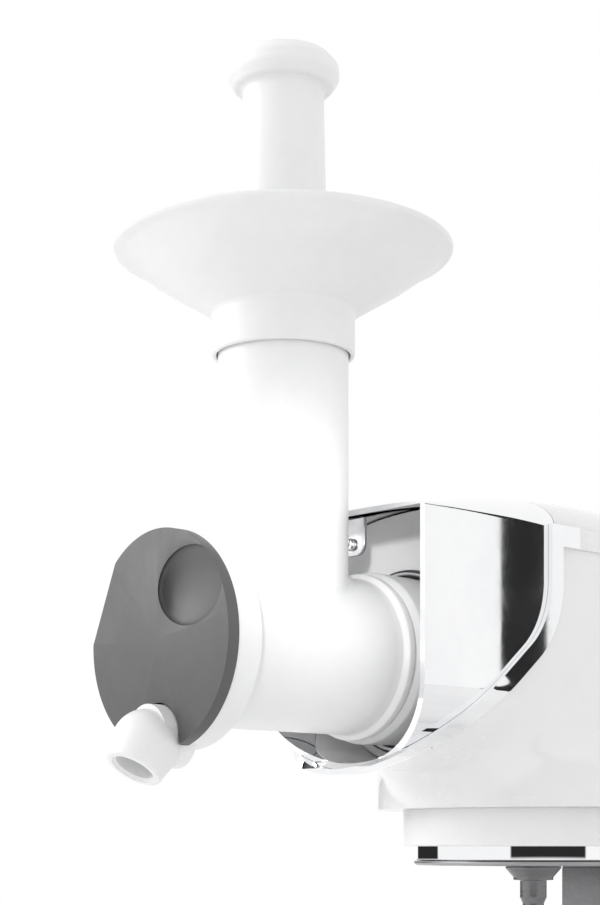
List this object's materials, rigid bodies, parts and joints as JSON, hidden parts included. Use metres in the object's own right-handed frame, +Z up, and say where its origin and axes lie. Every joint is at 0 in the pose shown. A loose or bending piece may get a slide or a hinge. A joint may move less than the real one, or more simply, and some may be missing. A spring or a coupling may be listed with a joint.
{
  "type": "electric meat grinder",
  "caption": "Mincing attachment with hopper tray, pusher and capped spout on the front drive of a tilting-head electric kitchen machine.",
  "frame": {"origin": "centre of the bounding box on the surface the feet stand on", "axes": "+Z up, the front of the machine faces -Y, the feed screw turns about a line along Y at x = 0"},
  "size_m": [0.21, 0.4892, 0.56],
  "materials": {
    "white_plastic": "satin moulded",
    "shell_lacquer": "white gloss lacquer on die-cast aluminium",
    "grey_plastic": "satin moulded",
    "chrome_plate": "polished",
    "steel": "machined",
    "rubber": "matte",
    "gear_nylon": "moulded",
    "bronze": "machined",
    "circuit_board": "solder mask",
    "panel_plastic": "fine grain"
  },
  "bodies": {
    "stand": {"base_housing": "shell_lacquer", "base_bottom_plate": "grey_plastic", "foot_front_left": "rubber", "foot_front_right": "rubber", "foot_rear_left": "rubber", "foot_rear_right": "rubber", "bowl_seat_ring": "steel", "column": "shell_lacquer", "cable_gland": "rubber", "speed_switch": "grey_plastic", "control_board": "circuit_board"},
    "head": {"head_lower_shell": "shell_lacquer", "head_top_cover": "shell_lacquer", "front_cowl": "chrome_plate", "cowl_rim": "chrome_plate", "belt_strip_left": "shell_lacquer", "belt_strip_right": "shell_lacquer", "recess_panel": "panel_plastic", "hub_ring": "chrome_plate", "hub_sleeve": "steel", "flap_hinge_tab": "steel", "hinge_tab_screw": "steel", "hinge_pin": "steel", "planetary_guard_ring": "white_plastic", "ring_gear": "gear_nylon", "gearbox_plate": "steel", "planetary_bearing": "bronze", "motor_can": "steel", "motor_end_cap": "grey_plastic", "motor_stator": "steel", "drive_belt": "rubber", "grinder_body": "white_plastic", "mincing_plate": "steel", "rear_bush": "gear_nylon", "shaft_seal": "rubber"},
    "planet": {"planet_carrier": "chrome_plate", "planet_bottom_plate": "steel", "scraper_socket": "steel", "planet_bevel_gear": "gear_nylon", "planet_pulley": "gear_nylon"},
    "tool_spindle": {"tool_spindle": "steel", "planet_pinion": "gear_nylon"},
    "motor_rotor": {"motor_rotor": "bronze", "motor_fan": "gear_nylon", "motor_pulley": "gear_nylon"},
    "feed_screw": {"feed_screw": "white_plastic", "drive_coupling": "steel", "power_shaft": "steel", "power_bevel_gear": "gear_nylon", "cross_knife": "steel"},
    "outlet": {"outlet_housing": "white_plastic", "front_cap": "grey_plastic"},
    "hopper_tray": {"hopper_tray": "white_plastic"},
    "pusher": {"pusher": "white_plastic"},
    "speed_knob": {"speed_knob": "grey_plastic"},
    "head_release_lever": {"head_release_lever": "grey_plastic"}
  },
  "joints": [
    {"name": "head_tilt", "type": "hinge", "parent": "stand", "child": "head", "pos_m": [0, 0.19756, 0.27], "axis": [-1, 0, 0], "range_deg": [0, 35]},
    {"name": "planet_spin", "type": "hinge", "parent": "head", "child": "planet", "pos_m": [0, 0.02956, 0.205], "axis": [0, 0, 1], "continuous": true},
    {"name": "tool_spin", "type": "hinge", "parent": "planet", "child": "tool_spindle", "pos_m": [0.014, 0.00256, 0.205], "axis": [0, 0, 1], "continuous": true},
    {"name": "motor_spin", "type": "hinge", "parent": "head", "child": "motor_rotor", "pos_m": [0, 0.12556, 0.256], "axis": [0, 0, 1], "continuous": true},
    {"name": "screw_spin", "type": "hinge", "parent": "head", "child": "feed_screw", "pos_m": [0, -0.15044, 0.293], "axis": [0, 1, 0], "continuous": true},
    {"name": "outlet_turn", "type": "hinge", "parent": "head", "child": "outlet", "pos_m": [0, -0.15044, 0.293], "axis": [0, 1, 0], "range_deg": [0, 40]},
    {"name": "tray_lift", "type": "slide", "parent": "head", "child": "hopper_tray", "axis": [0, 0, 1], "range_m": [0, 0.03]},
    {"name": "pusher_slide", "type": "slide", "parent": "head", "child": "pusher", "axis": [0, 0, 1], "range_m": [0, 0.145]},
    {"name": "speed_turn", "type": "hinge", "parent": "stand", "child": "speed_knob", "pos_m": [0.0483, 0.19756, 0.12], "axis": [1, 0, 0], "range_deg": [0, 270]},
    {"name": "lever_press", "type": "hinge", "parent": "stand", "child": "head_release_lever", "pos_m": [0.0483, 0.19756, 0.18], "axis": [1, 0, 0], "range_deg": [0, 25], "stiffness_Nm_per_rad": 0.3, "springref_deg": -5.73}
  ],
  "couplings": [
    {"joint": "tool_spin", "follows": "planet_spin", "ratio": -2.2},
    {"joint": "motor_spin", "follows": "planet_spin", "ratio": 5},
    {"joint": "screw_spin", "follows": "planet_spin", "ratio": -1}
  ]
}
